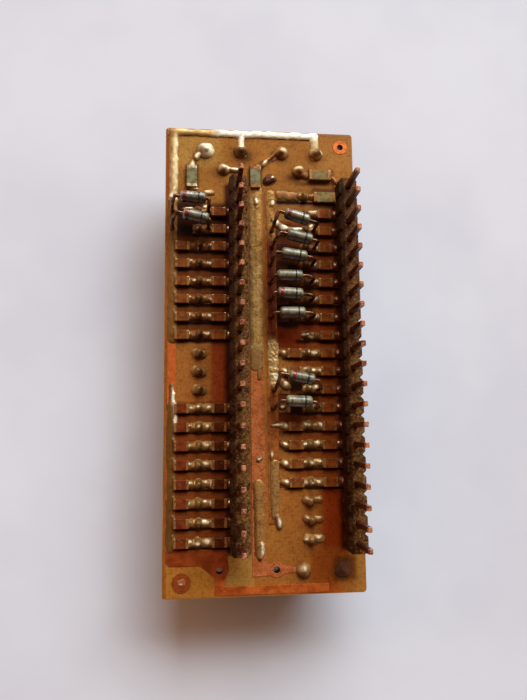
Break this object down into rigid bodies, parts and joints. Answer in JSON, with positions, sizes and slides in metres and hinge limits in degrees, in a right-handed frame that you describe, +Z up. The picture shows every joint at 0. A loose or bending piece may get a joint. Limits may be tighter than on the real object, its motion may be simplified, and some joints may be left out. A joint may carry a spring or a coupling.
{
  "type": "dip plug-in circuit module",
  "caption": "Small circuit board with two rows of square header pins in a DIP footprint, chip resistors, glass diodes and a DIP device in a socket underneath.",
  "frame": {"origin": "on the surface that the module lies on, under the centre of the board", "axes": "+Z up from the device's flat face to the pin tips, +Y along the board and its pin rows, +X across the board towards the header row at its edge"},
  "size_m": [0.0274, 0.0654, 0.021],
  "materials": {
    "board": "stained glass-epoxy laminate with a fine weave",
    "copper": "bare, dull, oxidised copper",
    "tinned": "solder-coated copper under a film of flux",
    "solder": "solder, bright in places, coated with brown flux",
    "strip": "dusty dark plastic",
    "pin": "tarnished pin, paler at its tip",
    "moulding": "black moulded epoxy",
    "lead": "tin-plated lead",
    "socket": "black moulded plastic",
    "contact": "plated spring metal",
    "resistor": "dark red-brown glaze",
    "series_resistor": "dark glaze under flux",
    "cap": "soldered end cap",
    "large_resistor": "grey-green glaze",
    "diode_glass": "grey-green glass with a dark band",
    "wire": "dull tinned wire",
    "transistor": "black moulded epoxy",
    "capacitor": "tan dipped coating"
  },
  "bodies": {
    "root": {"board": "board", "left_bus": "copper", "top_bus": "tinned", "wide_centre_bus": "copper", "slim_centre_bus": "copper", "bottom_land": "copper", "row_lands_left": "tinned", "row_lands_right": "tinned", "lead_lands": "tinned", "bus_tinning": "solder", "row_solder_left": "solder", "row_solder_right": "solder", "header_solder_left": "solder", "header_solder_right": "solder", "lead_joints": "solder", "diode_joints": "solder", "header_strip_left": "strip", "header_strip_right": "strip", "header_pins_left": "pin", "header_pins_right": "pin", "device_body": "moulding", "device_leads_left": "lead", "device_leads_right": "lead", "socket_frame": "socket", "socket_contacts_left": "contact", "socket_contacts_right": "contact", "bus_resistors_left": "resistor", "bus_resistor_caps_left": "cap", "series_resistors_left": "series_resistor", "series_resistor_caps_left": "cap", "bus_resistors_right": "resistor", "bus_resistor_caps_right": "cap", "series_resistors_right": "series_resistor", "series_resistor_caps_right": "cap", "large_resistors": "large_resistor", "large_resistor_caps": "cap", "diode_wires_left": "wire", "diode_wires_right": "wire", "transistor_left": "transistor", "transistor_right": "transistor", "transistor_leads_left": "lead", "transistor_leads_right": "lead", "disc_capacitor": "capacitor", "capacitor_leads": "lead", "diode_left_2": "diode_glass", "diode_left_3": "diode_glass", "diode_right_3": "diode_glass", "diode_right_4": "diode_glass", "diode_right_5": "diode_glass", "diode_right_6": "diode_glass", "diode_right_7": "diode_glass", "diode_right_8": "diode_glass", "diode_right_12": "diode_glass", "diode_right_13": "diode_glass"}
  },
  "joints": []
}
